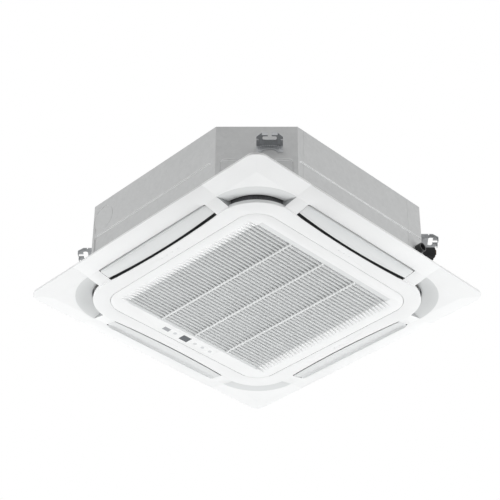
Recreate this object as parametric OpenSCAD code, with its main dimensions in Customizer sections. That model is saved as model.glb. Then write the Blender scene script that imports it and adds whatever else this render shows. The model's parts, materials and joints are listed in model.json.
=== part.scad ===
// Ceiling cassette air conditioner: a square four-way panel under an octagonal sheet-metal body.
// Origin: centre of the intake face, which is the lowest plane. +Z points up into the ceiling.
// Front is -Y, back (the display side) is +Y, left is -X, right is +X.

/* [Decoration panel] */
// Width of the square panel
panel_w = 950; // [920:1:990]
// Radius of the outer corners of the panel
panel_corner_r = 35; // [20:1:60]
// Height of the outer rim, from the ceiling down to its lower edge
rim_h = 6; // [4:0.5:10]
// Height of the lower edge of the rim above the intake face
face_rise = 21.5; // [19:0.5:26]
// How far the sloping apron falls from the rim to the air outlets
apron_drop = 8.5; // [5:0.5:10]
// Wall thickness of the panel mouldings
skin_t = 2.6; // [2:0.1:3]

/* [Air outlets] */
// Width of the panel's border outside the air outlets
border_w = 55; // [50:0.5:62]
// Radius of the corner outlets at their outer edge
outlet_corner_r = 152; // [145:1:160]
// Width of the dished wall of a corner outlet
diffuser_w = 48; // [42:0.5:50]
// Rise of the dished wall of a corner outlet
diffuser_rise = 10.5; // [8:0.5:11]
// Radius that softens the outer edge of a corner outlet
diffuser_edge_r = 10; // [4:0.5:12]

/* [Inner frame] */
// Width of the outlets, from their outer edge to the corners of the ring
ring_gap = 44.5; // [42:0.5:49]
// Width of the ring's band between its corners and the intake grille
ring_band = 51.5; // [49:0.5:56]
// Radius of the corners of the ring
ring_corner_r = 125; // [115:1:135]
// How far the sides of the ring are drawn in at the middle
ring_waist = 11; // [8:0.5:13]
// Height of the light outer lip of the ring
ring_lip_h = 10; // [8:0.5:11]
// Width of the bridge between a flap slot and a corner outlet
bridge_w = 48; // [44:1:52]
// How far the duct wall stands back behind the ring lip
duct_inset = 9; // [8:0.5:11]
// Thickness of the dark foam that lines the duct wall
lining_t = 2; // [1:0.5:3]

/* [Flaps] */
// Width of a flap in the middle of its bowed edge
flap_w = 48; // [44:0.5:49]
// How much narrower a flap is at its ends
flap_bow = 10; // [6:0.5:11]
// Fall of a closed flap over its width
flap_drop = 9; // [7:0.5:9.5]
// Thickness of a flap
flap_t = 3; // [2:0.1:4]
// Diameter of the flap pins
flap_pin_d = 6; // [5:0.1:6.5]
// Distance from the outer edge of a flap to its pins
flap_pivot_back = 36; // [33:0.5:38]
// Height of the flap pins above the intake face
flap_pivot_z = 19; // [18:0.5:19]

/* [Intake grille] */
// Corner radius of the intake grille opening
groove_r = 70; // [60:1:78]
// Gap all round the intake grille
groove_gap = 1.3; // [1.2:0.1:2]
// Thickness of the border of the grille
grille_t = 2.6; // [2:0.1:3]
// Number of slats
slat_count = 40; // [30:1:42]
// Width of one slat
slat_w = 5.5; // [4:0.1:6]
// Width of the grille's border between the ring and the slats
field_inset = 58.2; // [57:0.1:64]
// Height of one slat
slat_h = 10; // [8:0.5:11]
// How far the slats lie behind the face of the border
slat_recess = 4; // [2:0.5:5]
// Distance from the ring to the ends of the slats
slat_inset = 59; // [58:0.5:70]
// Length of the comb ramps at the ends of the slats
comb_len = 34; // [24:1:36]
// Width of the three stiffening ribs
rib_w = 5; // [4:0.5:8]

/* [Body] */
// Height of the body
body_h = 230; // [226:1:290]
// Leg of the chamfers that cut the body's corners
chamfer_leg = 160; // [150:1:165]
// Gap between the ceiling and the underside of the body
body_gap = 6; // [5:0.5:10]
// Thickness of the casing sheet
sheet_t = 1.2; // [0.8:0.1:1.5]
// Depth of the pressed panels in the casing walls
press_d = 3; // [2:0.5:3.5]
// Height of the upper edge of the pressed panels above the body's underside
press_h = 113; // [90:1:130]

/* [Hanging and pipes] */
// How much closer the hanging rods stand, from left to right, than the body is wide
hang_in_x = 160; // [150:1:170]
// How much closer the hanging rods stand, from front to back, than the body is wide
hang_in_y = 60; // [50:1:70]
// Width of a hanging bracket
bracket_w = 73; // [68:1:80]
// Reach of a hanging bracket from the chamfer
bracket_reach = 58; // [54:0.5:62]
// Height of the bracket plate above the intake face
bracket_z = 193; // [180:1:200]
// Width of the rod slot's mouth
mouth_w = 11; // [10.5:0.5:13]
// Length of the cross slot for a hanging rod
slot_len = 39; // [32:1:42]
// Width of the cross slot for a hanging rod
slot_w = 14; // [12:0.5:15]
// Outer diameter of the gas pipe
gas_d = 15.88; // [12.7:0.01:19.05]
// Outer diameter of the liquid pipe
liquid_d = 9.52; // [6.35:0.01:12.7]
// Outer diameter of the drain socket
drain_d = 28; // [24:1:30]

/* [Fan] */
// Free space between the turbo fan and the coil
fan_gap = 46; // [36:1:66]
// Height of the turbo fan
fan_h = 146; // [130:1:150]
// Number of fan blades
blade_count = 8; // [6:1:9]
// Width of the fan's shroud from its inlet to its rim
shroud_w = 89; // [80:1:95]
// Diameter of the motor shaft
shaft_d = 12; // [10:0.5:14]
// Diameter of the fan motor
motor_d = 144; // [120:1:150]

/* [Hidden] */
$fn = 96;

// One overrun serves all cuts, and three clearances serve all fits
cut = 1;
slide_gap = 0.3;
seam_gap = 0.4;
running_gap = 0.05;

// Heights. The rim stands a little proud of the walls inside it, and seals on the ceiling.
rim_proud = 0.5;
outlet_z = face_rise - apron_drop;
rim_top = face_rise + rim_h;
body_z = rim_top + body_gap;
body_top = body_z + body_h;
duct_top = rim_top - rim_proud;

// Widths that follow from the panel, and half widths of the square outlines
outlet_w = panel_w - 2 * border_w;
ring_w = outlet_w - 2 * ring_gap;
groove_w = ring_w - 2 * ring_band;
body_w = outlet_w;
hang_x = body_w - hang_in_x;
hang_y = body_w - hang_in_y;
panel_half = panel_w / 2;
outlet_half = outlet_w / 2;
ring_half = ring_w / 2;
groove_half = groove_w / 2;
body_half = body_w / 2;
grille_half = groove_half - groove_gap;

// The bridges end where the corner outlets start
arc_start = outlet_half - outlet_corner_r;
bridge_start = arc_start - bridge_w;
flap_len = 2 * bridge_start;
apron_slope = apron_drop / (panel_half - outlet_half);
flap_slope = flap_drop / flap_w;

// Distance of the chamfers from the centre line
chamfer_far = (body_w - chamfer_leg) / sqrt(2);
wall_flat = chamfer_far * sqrt(2) - body_half;

// Heights inside the body
pan_z = body_z + sheet_t;
pan_h = 38;
pan_top = pan_z + pan_h;
bell_t = 2.5;
bell_ledge_h = 8;
bell_z = pan_top - bell_ledge_h - bell_t;
intake_r = 50;
liner_t = 15;
liner_gap = 0.5;
press_in = press_d + sheet_t;
liner_half = body_half - press_in - liner_gap;
liner_far = chamfer_far - press_in - liner_gap;
shaft_w = 74.3;
coil_half = liner_half - liner_t - shaft_w;
coil_r = 100;
coil_t = 40;
bell_gap = 18;
intake_half = coil_half - coil_t - bell_gap;
fan_d = 2 * (coil_half - coil_t - fan_gap);
fan_inlet_d = fan_d - 2 * shroud_w;

// Basic outlines and arrangements

module rounded_square(half, r) {
    square([2 * half, 2 * (half - r)], center = true);
    square([2 * (half - r), 2 * half], center = true);
    for (x = [-1, 1], y = [-1, 1]) {
        translate([x * (half - r), y * (half - r)]) circle(r);
    }
}

module rounded_rect(w, d, r) {
    square([w, d - 2 * r], center = true);
    square([w - 2 * r, d], center = true);
    for (x = [-1, 1], y = [-1, 1]) {
        translate([x * (w / 2 - r), y * (d / 2 - r)]) circle(r);
    }
}

module octagon(half, far) {
    flat = far * sqrt(2) - half;
    polygon([
        [half, -flat], [half, flat], [flat, half], [-flat, half],
        [-half, flat], [-half, -flat], [-flat, -half], [flat, -half]
    ]);
}

// Square outline with its four sides drawn in by a long arc
module ring_outline(inset) {
    half_chord = ring_half - ring_corner_r;
    waist_r = (half_chord * half_chord + ring_waist * ring_waist) / (2 * ring_waist);
    difference() {
        rounded_square(ring_half - inset, ring_corner_r - inset);
        for (turn = [0:90:270]) {
            rotate(turn) translate([ring_half - ring_waist + waist_r, 0])
                circle(waist_r + inset, $fn = 360);
        }
    }
}

module four_sides() {
    for (turn = [0:90:270]) {
        rotate(turn) children();
    }
}

// A profile drawn in x and z, drawn out along y from y0 to y1
module along_y(y0, y1) {
    translate([0, y1, 0]) rotate([90, 0, 0]) linear_extrude(y1 - y0) children();
}

module slab(z0, z1) {
    translate([0, 0, z0]) linear_extrude(z1 - z0) children();
}

// The panel

// Everything under the sloping face, lifted by lift
module under_slope(lift) {
    far = panel_half + cut;
    z_far = outlet_z + (far - outlet_half) * apron_slope;
    four_sides() along_y(-panel_w, panel_w) polygon([
        [outlet_half - cut, outlet_z - cut * apron_slope + lift], [far, z_far + lift],
        [far, -panel_w], [outlet_half - cut, -panel_w]
    ]);
}

// The full sloping shell of the panel with its rim, before it is divided
module apron_shell() {
    difference() {
        slab(outlet_z, rim_top) rounded_square(panel_half, panel_corner_r);
        under_slope(0);
        difference() {
            slab(outlet_z, rim_top + cut)
                rounded_square(panel_half - skin_t, panel_corner_r - skin_t);
            under_slope(skin_t);
            slab(outlet_z - cut, outlet_z + skin_t)
                rounded_square(panel_half, panel_corner_r);
        }
        slab(outlet_z - cut, rim_top + cut) rounded_square(outlet_half, outlet_corner_r);
    }
}

// The quarter of the plane that a corner cover takes, from the seam lines outwards
module corner_region(gap) {
    translate([arc_start + gap, arc_start + gap]) square(panel_w);
}

web_t = 2.2;
web_z = duct_top - web_t;
web_r = outlet_corner_r - diffuser_w;
web_lap = 8;
screw_out = 75;
screw_far = chamfer_far + screw_out;
cover_post_d = 5;
post_out = 25;
post_along = 45;
cover_post_at = [outlet_half + post_out, arc_start + post_along];
cover_post_z = outlet_z + (post_out + cover_post_d / 2) * apron_slope + skin_t / 2;

module corner_web() {
    slab(web_z, duct_top) difference() {
        intersection() {
            rounded_square(panel_half - skin_t - seam_gap, panel_corner_r - skin_t);
            union() {
                corner_region(0);
                translate([outlet_half, arc_start - skin_t]) square(panel_w);
                translate([arc_start - skin_t, outlet_half]) square(panel_w);
            }
        }
        translate([arc_start, arc_start]) circle(web_r + web_lap);
        translate([screw_far / sqrt(2), screw_far / sqrt(2)]) circle(d = screw_d + 2 * slide_gap);
        for (side = [0, 1]) {
            mirror([side, -side]) translate(cover_post_at)
                circle(d = cover_post_d + 2 * slide_gap);
        }
    }
}

module panel_frame() {
    color("white") {
        difference() {
            apron_shell();
            four_sides() slab(-cut, rim_top + cut) corner_region(0);
        }
        four_sides() {
            // Outer wall of the straight duct
            translate([outlet_half, -arc_start, outlet_z + skin_t])
                cube([skin_t, 2 * arc_start, duct_top - outlet_z - skin_t]);
            // Cross walls that close the apron at the seams and carry the corner webs
            for (side = [-1, 1]) {
                y0 = side * (arc_start - skin_t / 2) - skin_t / 2;
                along_y(y0, y0 + skin_t) polygon([
                    [outlet_half, outlet_z + skin_t / 2],
                    [panel_half - skin_t / 2, face_rise + skin_t / 2],
                    [panel_half - skin_t / 2, rim_top],
                    [panel_half - skin_t - seam_gap, duct_top],
                    [outlet_half, duct_top]
                ]);
            }
            corner_web();
        }
    }
}

// The dished wall of a corner outlet, as points of radius and height. Its outer edge is
// a soft curve that leads into the straight slope, and its inner edge turns up.
edge_steps = 5;
dish_slope = diffuser_rise / diffuser_w;
function dish_point(i, lift) =
    [outlet_corner_r + diffuser_edge_r / 2 - diffuser_edge_r * i / edge_steps,
     outlet_z + dish_slope * diffuser_edge_r / 2 * pow(i / edge_steps, 2) + lift];

module dish_profile() {
    top = outlet_z + diffuser_rise;
    lower = [for (i = [0:edge_steps]) dish_point(i, 0)];
    upper = [for (i = [edge_steps:-1:0]) dish_point(i, web_t)];
    polygon(concat(lower, [
        [web_r, top], [web_r, duct_top], [web_r + web_t, duct_top], [web_r + web_t, top + web_t]
    ], upper));
}

module corner_cover() {
    intersection() {
        union() {
            difference() {
                apron_shell();
                translate([arc_start, arc_start, 0])
                    cylinder(r = outlet_corner_r + diffuser_edge_r / 2, h = rim_top);
            }
            translate([arc_start, arc_start, 0]) rotate_extrude() dish_profile();
            // Edge walls along the two seams
            for (side = [0, 1]) {
                mirror([side, -side, 0])
                    along_y(arc_start + seam_gap, arc_start + seam_gap + skin_t) polygon([
                        [outlet_half + diffuser_edge_r, outlet_z + skin_t],
                        [panel_half - skin_t, face_rise],
                        [panel_half - skin_t, web_z - slide_gap],
                        [outlet_half + diffuser_edge_r, web_z - slide_gap]
                    ]);
            }
        }
        slab(-cut, rim_top) difference() {
            corner_region(seam_gap / 2);
            ring_outline(-seam_gap);
        }
    }
    for (side = [0, 1]) {
        mirror([side, -side, 0]) translate([cover_post_at[0], cover_post_at[1], cover_post_z])
            cylinder(d = cover_post_d, h = duct_top - cover_post_z);
    }
}

module corner_cover_back_right() {
    color("white") corner_cover();
}

module corner_cover_back_left() {
    color("white") rotate(90) corner_cover();
}

module corner_cover_front_left() {
    color("white") rotate(180) corner_cover();
}

module corner_cover_front_right() {
    color("white") rotate(270) corner_cover();
}

// The inner frame: ring, bridges, inner duct wall and hinge arms

shelf_t = 2.6;
skirt_h = 10;
hinge_inset = 19;
hinge_y = groove_half - hinge_inset;
hinge_z = 6.0;
hinge_pin_d = 3;
hinge_eye_r = 3.4;
cheek_r = 2.9;
hinge_at = 180;
knuckle_w = 10;
cheek_t = 3;
bush_d = 10;
bush_flange_t = 1;
pivot_x = outlet_half - flap_pivot_back;

function flap_face(x) = outlet_z - (outlet_half - x) * flap_slope;

module bridge_profile(top) {
    inner = ring_half - ring_waist;
    polygon([
        [inner, flap_face(inner)], [outlet_half, outlet_z],
        [outlet_half, top], [inner, top]
    ]);
}

module bridge(side) {
    low = side > 0 ? bridge_start : -arc_start;
    wall_top = duct_top;
    difference() {
        union() {
            along_y(low, low + bridge_w) polygon([
                [ring_half - ring_waist, flap_face(ring_half - ring_waist)],
                [outlet_half, outlet_z], [outlet_half, outlet_z + skin_t],
                [ring_half - ring_waist, flap_face(ring_half - ring_waist) + skin_t]
            ]);
            along_y(low, low + skin_t) bridge_profile(wall_top);
            along_y(low + bridge_w - skin_t, low + bridge_w) bridge_profile(wall_top);
        }
        translate([pivot_x, side * bridge_start, flap_pivot_z]) rotate([90, 0, 0])
            cylinder(d = bush_d, h = 2 * skin_t + cut, center = true);
    }
}

// The grille hangs on two arms that slide down in guides of the frame while it swings open,
// so that its rounded corners drop clear of the ring
arm_w = knuckle_w + 2 * (slide_gap + cheek_t);
arm_top = body_z;
guide_z = 11.5;

module grille_arms() {
    color("white") for (x = [-hinge_at, hinge_at]) translate([x, 0, 0]) {
        for (side = [-1, 1]) {
            x0 = side * (knuckle_w / 2 + slide_gap + cheek_t / 2) - cheek_t / 2;
            translate([x0 + cheek_t, 0, 0]) rotate([90, 0, -90]) mirror([1, 0, 0])
                linear_extrude(cheek_t) difference() {
                    union() {
                        translate([hinge_y, hinge_z]) circle(cheek_r);
                        translate([hinge_y - cheek_r, hinge_z])
                            square([2 * cheek_r, arm_top - hinge_z]);
                    }
                    translate([hinge_y, hinge_z]) circle(d = hinge_pin_d);
                }
        }
        translate([-arm_w / 2, hinge_y - cheek_r, arm_top - skin_t])
            cube([arm_w, 2 * cheek_r, skin_t]);
    }
}

module arm_guide() {
    guide_w = arm_w + 2 * (slide_gap + cheek_t);
    y0 = hinge_y - cheek_r - slide_gap;
    y1 = hinge_y + cheek_r + slide_gap;
    difference() {
        translate([-guide_w / 2, y0 - skin_t, guide_z])
            cube([guide_w, groove_half + skin_t - y0 + skin_t, duct_top - guide_z]);
        translate([-arm_w / 2 - slide_gap, y0, guide_z - cut])
            cube([arm_w + 2 * slide_gap, y1 - y0, duct_top]);
        translate([-knuckle_w / 2, y0 - skin_t - cut, guide_z - cut])
            cube([knuckle_w, 2 * skin_t, duct_top]);
    }
    translate([-guide_w / 2, groove_half, skirt_h - cut])
        cube([guide_w, skin_t, guide_z - skirt_h + 2 * cut]);
}

// Rows of small dimples that number the four outlets
mark_d = 3.5;
mark_depth = 0.5;
mark_pitch = 21.5;
mark_inset = 30.5;
mark_at = ring_half - mark_inset;
mark_counts = [2, 1, 4, 3];

module marks() {
    for (side = [0:3], i = [0:mark_counts[side] - 1]) {
        rotate(90 * side) translate([
            mark_at, (i - (mark_counts[side] - 1) / 2) * mark_pitch, -cut
        ]) cylinder(d = mark_d, h = mark_depth + cut);
    }
}

module inner_frame() {
    color("white") {
        difference() {
            slab(0, skin_t) difference() {
                ring_outline(0);
                rounded_square(groove_half, groove_r);
            }
            marks();
        }
        slab(skin_t, ring_lip_h) difference() {
            ring_outline(0);
            ring_outline(skin_t);
        }
        slab(ring_lip_h - shelf_t, ring_lip_h) difference() {
            ring_outline(skin_t);
            ring_outline(duct_inset + 2 * skin_t);
        }
        slab(ring_lip_h - shelf_t, duct_top) difference() {
            ring_outline(duct_inset);
            ring_outline(duct_inset + skin_t);
        }
        slab(skin_t, skirt_h) difference() {
            rounded_square(groove_half + skin_t, groove_r + skin_t);
            rounded_square(groove_half, groove_r);
        }
        four_sides() {
            bridge(1);
            bridge(-1);
        }
        for (x = [-hinge_at, hinge_at]) {
            translate([x, 0, 0]) arm_guide();
        }
    }
}

module duct_lining() {
    color("dimgray") slab(ring_lip_h, duct_top) difference() {
        ring_outline(duct_inset - lining_t);
        ring_outline(duct_inset);
        // The lining stops at the walls of the bridges
        for (turn = [0:90:270], side = [-1, 1]) {
            rotate(turn) translate([0, side * (bridge_start + bridge_w / 2)])
                translate([0, -bridge_w / 2 - seam_gap])
                square([panel_half, bridge_w + 2 * seam_gap]);
        }
    }
}

seal_w = 12;

module panel_seals() {
    color("darkgray") {
        slab(duct_top, body_z) difference() {
            octagon(outlet_half + skin_t, chamfer_far + seal_w);
            octagon(outlet_half + skin_t - seal_w, chamfer_far - sheet_t);
        }
        slab(duct_top, pan_z) difference() {
            ring_outline(duct_inset);
            ring_outline(duct_inset + seal_w);
        }
    }
}

screw_d = 6;
screw_head_d = 14;
screw_head_h = 4;

module panel_screws() {
    color("silver") four_sides() {
        at = screw_far / sqrt(2);
        translate([at, at, web_z - screw_head_h]) cylinder(d = screw_head_d, h = screw_head_h);
        translate([at, at, web_z]) cylinder(d = screw_d, h = body_z + hook_t - web_z + screw_d);
    }
}

// The flaps

flap_end_gap = 0.8;
flap_edge_gap = 1.2;
flap_arm_t = 3;
drive_len = 13;
idle_len = 5;

module flap_plan() {
    half_len = flap_len / 2;
    bow_r = (half_len * half_len + flap_bow * flap_bow) / (2 * flap_bow);
    intersection() {
        translate([outlet_half - flap_w + bow_r, 0]) circle(bow_r, $fn = 360);
        translate([outlet_half - flap_w, -half_len + flap_end_gap])
            square([flap_w - flap_edge_gap, flap_len - 2 * flap_end_gap]);
    }
}

module flap() {
    inner = outlet_half - flap_w;
    outer = outlet_half;
    end = flap_len / 2 - flap_end_gap;
    intersection() {
        along_y(-end, end) polygon([
            [inner, flap_face(inner)], [outer, flap_face(outer)],
            [outer, flap_face(outer) + flap_t / 2],
            [outer - flap_w / 3, flap_face(outer - flap_w / 3) + flap_t],
            [inner + flap_w / 3, flap_face(inner + flap_w / 3) + flap_t],
            [inner, flap_face(inner) + flap_t / 2]
        ]);
        slab(-cut, duct_top) flap_plan();
    }
    for (side = [-1, 1]) {
        y0 = side * (end - flap_arm_t / 2) - flap_arm_t / 2;
        along_y(y0, y0 + flap_arm_t) {
            translate([pivot_x, flap_pivot_z]) circle(d = bush_d);
            polygon([
                [pivot_x - bush_d / 2, flap_pivot_z], [pivot_x + bush_d / 2, flap_pivot_z],
                [pivot_x + bush_d, flap_face(pivot_x + bush_d) + flap_t / 2],
                [pivot_x, flap_face(pivot_x) + flap_t / 2]
            ]);
        }
    }
    translate([pivot_x, -end - idle_len, flap_pivot_z]) rotate([-90, 0, 0])
        cylinder(d = flap_pin_d, h = idle_len + cut);
    translate([pivot_x, end - cut, flap_pivot_z]) rotate([-90, 0, 0])
        cylinder(d = flap_pin_d, h = drive_len + cut);
}

module flap_right() {
    color("gainsboro") flap();
}

module flap_back() {
    color("gainsboro") rotate(90) flap();
}

module flap_left() {
    color("gainsboro") rotate(180) flap();
}

module flap_front() {
    color("gainsboro") rotate(270) flap();
}

module flap_bushes() {
    color("lightgray") four_sides() for (side = [-1, 1]) {
        translate([pivot_x, side * bridge_start, flap_pivot_z]) rotate([-90 * side, 0, 0])
            difference() {
                union() {
                    cylinder(d = bush_d, h = skin_t);
                    translate([0, 0, skin_t])
                        cylinder(d = bush_d + 2 * bush_flange_t, h = bush_flange_t);
                }
                translate([0, 0, -cut])
                    cylinder(d = flap_pin_d + 2 * running_gap, h = skin_t + bush_flange_t + 2 * cut);
            }
    }
}

flap_motor_d = 18.4;
flap_motor_len = 14;
connector_w = 12;

module flap_motors() {
    color("silver") four_sides()
        translate([pivot_x, bridge_start + skin_t + bush_flange_t, flap_pivot_z])
        rotate([-90, 0, 0]) difference() {
            union() {
                cylinder(d = flap_motor_d, h = flap_motor_len);
                translate([0, -connector_w / 3, 0])
                    cube([flap_motor_d, connector_w * 2 / 3, flap_motor_len]);
            }
            translate([0, 0, -cut])
                cylinder(d = flap_pin_d + 2 * running_gap, h = drive_len + cut);
        }
}

// The intake grille

field_y = groove_half - field_inset;
slat_len = groove_w - 2 * slat_inset;
slat_pitch = (2 * field_y + slat_w) / (slat_count + 1);
slat_top = slat_recess + slat_h;
slat_half = slat_len / 2;
comb_half = slat_half + comb_len;
front_ramp = 20;
back_ramp = 4;
rib_at = slat_len / 4;
rib_recess = slat_recess / 2;
window_w = 222;
window_d = 37;
window_r = 8;
window_inset = 28.5;
window_y = groove_half - window_inset;
tongue_at = 150;
tongue_w = 12;
tongue_t = 2;
tongue_inset = 12;
tongue_y = tongue_inset - groove_half;
tongue_h = 13;
rail_t = 2.5;
rail_gap = 0.5;
rail_lap = 0.75;

function slat_y(i) = -field_y + (slat_pitch - slat_w) + i * slat_pitch;
function gap_y(i) = -field_y + i * slat_pitch;

module grille_border() {
    slab(0, grille_t) difference() {
        rounded_square(grille_half, groove_r - groove_gap);
        square([2 * comb_half, 2 * field_y], center = true);
        translate([-slat_half, -field_y - front_ramp])
            square([slat_len, 2 * field_y + front_ramp + back_ramp]);
        translate([0, window_y])
            rounded_rect(window_w + 2 * slide_gap, window_d + 2 * slide_gap, window_r);
    }
}

// End ramp with one tapering groove for each gap between the slats
module comb_end() {
    difference() {
        along_y(-field_y - grille_t, field_y + grille_t) polygon([
            [comb_half, 0], [slat_half, slat_recess],
            [slat_half, slat_top], [comb_half, grille_t]
        ]);
        for (i = [0:slat_count]) {
            along_y(gap_y(i), gap_y(i) + slat_pitch - slat_w) polygon([
                [comb_half - grille_t, -cut], [comb_half - grille_t, 0],
                [slat_half - cut, slat_top - grille_t], [slat_half - cut, -cut]
            ]);
        }
    }
}

module side_ramp(y0, len) {
    end = slat_half + rail_gap + rail_t;
    rotate(y0 > 0 ? 90 : -90) along_y(-end, end) polygon([
        [field_y + len, 0], [field_y, slat_recess], [field_y, slat_top], [field_y + len, grille_t]
    ]);
}

module slats() {
    for (i = [0:slat_count - 1]) {
        translate([-slat_half, slat_y(i), 0]) rotate([90, 0, 90]) linear_extrude(slat_len) polygon([
            [0, slat_recess], [slat_w, slat_recess],
            [slat_w * 3 / 4, slat_top], [slat_w / 4, slat_top]
        ]);
    }
}

module knuckle() {
    translate([knuckle_w / 2, 0, 0]) rotate([90, 0, -90]) mirror([1, 0, 0])
        linear_extrude(knuckle_w) difference() {
            union() {
                translate([hinge_y, hinge_z]) circle(hinge_eye_r);
                translate([hinge_y - hinge_eye_r, grille_t / 2])
                    square([2 * hinge_eye_r, hinge_z - grille_t / 2]);
            }
            translate([hinge_y, hinge_z]) circle(d = hinge_pin_d + 2 * running_gap);
        }
}

module intake_grille() {
    color("gainsboro") {
        grille_border();
        comb_end();
        mirror([1, 0, 0]) comb_end();
        side_ramp(-1, front_ramp);
        side_ramp(1, back_ramp);
        slats();
        for (x = [-rib_at, 0, rib_at]) {
            translate([x - rib_w / 2, -field_y, rib_recess])
                cube([rib_w, 2 * field_y, slat_top - rib_recess]);
        }
        for (x = [-hinge_at, hinge_at]) {
            translate([x, 0, 0]) knuckle();
        }
        for (x = [-tongue_at, tongue_at]) {
            translate([x - tongue_w / 2, tongue_y - tongue_t / 2, grille_t / 2])
                cube([tongue_w, tongue_t, tongue_h + grille_t / 2]);
        }
        // Rails that hold the filter between them
        for (side = [-1, 1]) {
            x0 = side * (slat_half + rail_gap + rail_t / 2) - rail_t / 2;
            translate([x0, -field_y, slat_top - grille_t])
                cube([rail_t, 2 * field_y, grille_t + filter_t + rail_lap]);
        }
    }
}

module hinge_pins() {
    color("silver") for (x = [-hinge_at, hinge_at]) {
        pin_len = knuckle_w + 2 * (slide_gap + cheek_t);
        translate([x - pin_len / 2, hinge_y, hinge_z]) rotate([0, 90, 0])
            cylinder(d = hinge_pin_d, h = pin_len);
    }
}

snap_w = 24;
snap_h = 15;
snap_z = 5;
snap_reach = 18;

module grille_snaps() {
    color("white") for (x = [-tongue_at, tongue_at]) difference() {
        translate([x - snap_w / 2, -groove_half, snap_z]) cube([snap_w, snap_reach, snap_h]);
        translate([x - tongue_w / 2 - 2 * slide_gap, tongue_y - tongue_t / 2 - 2 * slide_gap, 0])
            cube([tongue_w + 4 * slide_gap, tongue_t + 4 * slide_gap, grille_t + tongue_h + cut]);
    }
}

filter_t = 3.5;
filter_edge = 10;
filter_bar = 6;
mesh_t = 0.6;
filter_z = slat_top + slide_gap;
filter_x = slat_half - slide_gap;
filter_y = field_y - slide_gap;
filter_cells = 4;

module filter_frame() {
    color("white") slab(filter_z, filter_z + filter_t) difference() {
        square([2 * filter_x, 2 * filter_y], center = true);
        cell_x = (2 * (filter_x - filter_edge) - (filter_cells - 1) * filter_bar) / filter_cells;
        cell_y = (2 * (filter_y - filter_edge) - (filter_cells - 1) * filter_bar) / filter_cells;
        for (i = [0:filter_cells - 1], j = [0:filter_cells - 1]) {
            translate([
                -filter_x + filter_edge + i * (cell_x + filter_bar),
                -filter_y + filter_edge + j * (cell_y + filter_bar)
            ]) square([cell_x, cell_y]);
        }
    }
}

module filter_mesh() {
    color("gray") slab(filter_z + filter_t, filter_z + filter_t + mesh_t)
        square([2 * filter_x - filter_edge, 2 * filter_y - filter_edge], center = true);
}

// The display in the back border of the grille

display_wall = 2;
display_h = 13;
housing_side = 4;
housing_back = 3;
lens_gap = 0.15;
lens_flange = 1.5;
lens_flange_t = 2;
receiver_w = 25;
receiver_d = 16;
receiver_x = -88.5;
screen_w = 32;
screen_d = 26;
screen_x = -13;
button_d = 12;
button_x = -54;
button_gap = 0.3;
button_travel = 1.5;
lamp_d = 12;
lamp_xs = [28, 59, 90];
window_t = grille_t;

module display_window() {
    color("white") slab(0, window_t) translate([0, window_y]) difference() {
        rounded_rect(window_w, window_d, window_r);
        translate([receiver_x, 0]) square([receiver_w, receiver_d], center = true);
        translate([screen_x, 0]) square([screen_w, screen_d], center = true);
        translate([button_x, 0]) circle(d = button_d + 2 * button_gap);
        for (x = lamp_xs) {
            translate([x, 0]) circle(d = lamp_d);
        }
    }
}

module flanged_block(x, w, d) {
    translate([x - w / 2 + lens_gap, window_y - d / 2 + lens_gap, lens_gap])
        cube([w - 2 * lens_gap, d - 2 * lens_gap, window_t]);
    translate([x - w / 2 - lens_flange, window_y - d / 2 - lens_flange, window_t])
        cube([w + 2 * lens_flange, d + 2 * lens_flange, lens_flange_t]);
}

module display_screen() {
    color("black") flanged_block(screen_x, screen_w, screen_d);
}

module receiver_lens() {
    color("gray") flanged_block(receiver_x, receiver_w, receiver_d);
}

module indicator_lenses() {
    color("lightgray") for (x = lamp_xs) {
        translate([x, window_y, lens_gap]) cylinder(d = lamp_d - 2 * lens_gap, h = window_t);
        translate([x, window_y, window_t]) cylinder(d = lamp_d + 2 * lens_flange, h = lens_flange_t);
    }
}

module display_button() {
    color("lightgray") {
        translate([button_x, window_y, 0]) cylinder(d = button_d, h = window_t + lens_flange_t);
        translate([button_x, window_y, window_t + slide_gap])
            cylinder(d = button_d + 2 * lens_flange, h = lens_flange_t);
    }
}

module display_housing() {
    outer_w = window_w + 2 * housing_side;
    outer_d = window_d + 2 * housing_back;
    inner_w = window_w - 2 * display_wall;
    inner_d = window_d - 2 * display_wall;
    color("white") translate([0, window_y, 0]) difference() {
        slab(grille_t, grille_t + display_h) square([outer_w, outer_d], center = true);
        slab(grille_t - cut, grille_t + display_h - display_wall)
            square([inner_w, inner_d], center = true);
    }
}

board_t = 1.6;

switch_d = 5;

module display_board() {
    z = grille_t + display_h - display_wall - board_t;
    button_top = window_t + slide_gap + lens_flange_t;
    color("darkgreen") {
        translate([0, window_y, 0]) slab(z, z + board_t)
            square([window_w - 2 * housing_back, window_d - 2 * housing_back], center = true);
        // Switch behind the round button
        translate([button_x, window_y, button_top + button_travel + slide_gap])
            cylinder(d = switch_d, h = z + board_t - button_top - button_travel - slide_gap);
    }
}

// The body's casing

press_margin = 14;
press_r = 10;
knock_d = 82;
knock_inset = 45;
knock_y = wall_flat - knock_inset;
knock_z = 199.5;
knock_line = 1.2;
knock_depth = 0.5;
flange_w = 8;

// The eight walls, each with its turn, its distance from the centre line, and where its
// pressing starts and ends. On the front and back it runs on past the right corner.
chamfer_w = chamfer_leg * sqrt(2);
left_lap = 23;
right_lap = 57;
end_press = 5;
left_press = [10, 18];
walls = [
    [0, body_half, -wall_flat + press_margin, wall_flat - press_margin],
    [180, body_half, -wall_flat + left_press[0], wall_flat - left_press[1]],
    [-90, body_half, -wall_flat + end_press, wall_flat + 2 * press_r],
    [90, body_half, -wall_flat - 2 * press_r, wall_flat - end_press],
    for (turn = [45:90:315]) [
        turn, chamfer_far, -chamfer_w / 2 + press_margin, chamfer_w / 2 - press_margin
    ]
];

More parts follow.
